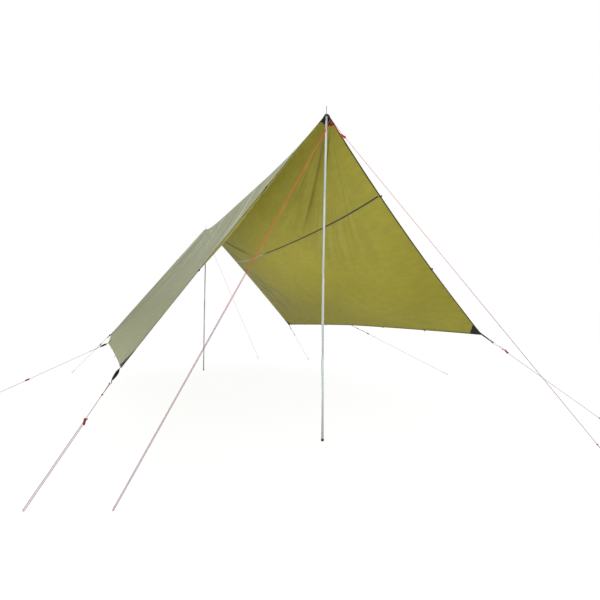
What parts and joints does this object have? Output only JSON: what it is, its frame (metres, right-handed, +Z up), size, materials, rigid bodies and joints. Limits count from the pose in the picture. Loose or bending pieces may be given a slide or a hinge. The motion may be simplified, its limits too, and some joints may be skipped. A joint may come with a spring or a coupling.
{
  "type": "camping tarp",
  "caption": "Ridge-shaped camping tarp of sewn cloth, stretched over two sectional poles and held out by guy lines with sliding tensioners.",
  "frame": {"origin": "on the ground midway between the two poles, under the ridge", "axes": "+Z up, +Y along the ridge from the front to the rear, +X to the right seen from the front"},
  "size_m": [5.2424, 6.0713, 2.1726],
  "materials": {
    "cloth": "coated plain weave, olive inside and grey-green outside",
    "webbing": "black woven webbing",
    "tape": "welded seam tape",
    "eyelet": "plated",
    "pole": "satin anodised",
    "spike": "plain",
    "foot": "matt black",
    "shock_cord": "braided",
    "guy_cord": "braided, red",
    "tensioner": "red anodised"
  },
  "bodies": {
    "canopy": {"canopy_centre_panel": "cloth", "canopy_left_panel": "cloth", "canopy_right_panel": "cloth", "seam_tape_left": "tape", "seam_tape_right": "tape", "hem_front": "cloth", "hem_rear": "cloth", "hem_left": "cloth", "hem_right": "cloth", "corner_patch_front_left": "webbing", "corner_patch_front_right": "webbing", "corner_patch_rear_left": "webbing", "corner_patch_rear_right": "webbing", "peak_patch_front": "webbing", "peak_patch_rear": "webbing", "eyelet_front": "eyelet", "eyelet_rear": "eyelet", "strap_front_left": "webbing", "strap_front_right": "webbing", "strap_mid_left": "webbing", "strap_mid_right": "webbing", "strap_rear_left": "webbing", "strap_rear_right": "webbing", "strap_front_peak": "webbing", "strap_rear_peak": "webbing", "guy_front_peak_left": "guy_cord", "guy_front_peak_right": "guy_cord", "guy_front_left": "guy_cord", "guy_front_right": "guy_cord", "guy_mid_left": "guy_cord", "guy_mid_right": "guy_cord", "guy_rear_left": "guy_cord", "guy_rear_right": "guy_cord", "guy_rear_peak_left": "guy_cord", "guy_rear_peak_right": "guy_cord"},
    "pole_front": {"pole_front_section_1": "pole", "pole_front_section_2": "pole", "pole_front_section_3": "pole", "pole_front_section_4": "pole", "pole_front_spike": "spike", "pole_front_foot": "foot", "pole_front_shock_cord": "shock_cord"},
    "pole_rear": {"pole_rear_section_1": "pole", "pole_rear_section_2": "pole", "pole_rear_section_3": "pole", "pole_rear_section_4": "pole", "pole_rear_spike": "spike", "pole_rear_foot": "foot", "pole_rear_shock_cord": "shock_cord"},
    "tensioner_front_peak_left": {"tensioner_front_peak_left": "tensioner"},
    "tensioner_front_peak_right": {"tensioner_front_peak_right": "tensioner"},
    "tensioner_front_left": {"tensioner_front_left": "tensioner"},
    "tensioner_front_right": {"tensioner_front_right": "tensioner"},
    "tensioner_mid_left": {"tensioner_mid_left": "tensioner"},
    "tensioner_mid_right": {"tensioner_mid_right": "tensioner"},
    "tensioner_rear_left": {"tensioner_rear_left": "tensioner"},
    "tensioner_rear_right": {"tensioner_rear_right": "tensioner"},
    "tensioner_rear_peak_left": {"tensioner_rear_peak_left": "tensioner"},
    "tensioner_rear_peak_right": {"tensioner_rear_peak_right": "tensioner"}
  },
  "joints": [
    {"name": "pole_front_lean", "type": "hinge", "parent": "canopy", "child": "pole_front", "pos_m": [0, -1.988, 2.1126], "axis": [1, 0, 0], "range_deg": [-8, 8]},
    {"name": "pole_rear_lean", "type": "hinge", "parent": "canopy", "child": "pole_rear", "pos_m": [0, 1.988, 2.1126], "axis": [1, 0, 0], "range_deg": [-8, 8]},
    {"name": "tensioner_front_peak_left_slide", "type": "slide", "parent": "canopy", "child": "tensioner_front_peak_left", "axis": [-0.523, -0.1635, -0.8365], "range_m": [0, 0.5]},
    {"name": "tensioner_front_peak_right_slide", "type": "slide", "parent": "canopy", "child": "tensioner_front_peak_right", "axis": [0.4913, -0.3316, -0.8054], "range_m": [0, 0.5]},
    {"name": "tensioner_front_left_slide", "type": "slide", "parent": "canopy", "child": "tensioner_front_left", "axis": [0.5318, 0.3927, 0.7503], "range_m": [0, 0.1]},
    {"name": "tensioner_front_right_slide", "type": "slide", "parent": "canopy", "child": "tensioner_front_right", "axis": [0.6051, -0.5039, -0.6163], "range_m": [0, 0.3]},
    {"name": "tensioner_mid_left_slide", "type": "slide", "parent": "canopy", "child": "tensioner_mid_left", "axis": [0.8955, -0.1569, 0.4165], "range_m": [0, 0.4]},
    {"name": "tensioner_mid_right_slide", "type": "slide", "parent": "canopy", "child": "tensioner_mid_right", "axis": [0.8964, -0.0632, -0.4388], "range_m": [0, 0.4]},
    {"name": "tensioner_rear_left_slide", "type": "slide", "parent": "canopy", "child": "tensioner_rear_left", "axis": [-0.5029, 0.6705, -0.5455], "range_m": [0, 0.3]},
    {"name": "tensioner_rear_right_slide", "type": "slide", "parent": "canopy", "child": "tensioner_rear_right", "axis": [0.5795, 0.474, -0.663], "range_m": [0, 0.3]},
    {"name": "tensioner_rear_peak_left_slide", "type": "slide", "parent": "canopy", "child": "tensioner_rear_peak_left", "axis": [-0.457, 0.4281, -0.7797], "range_m": [0, 0.5]},
    {"name": "tensioner_rear_peak_right_slide", "type": "slide", "parent": "canopy", "child": "tensioner_rear_peak_right", "axis": [0.4531, 0.4275, -0.7823], "range_m": [0, 0.5]}
  ]
}
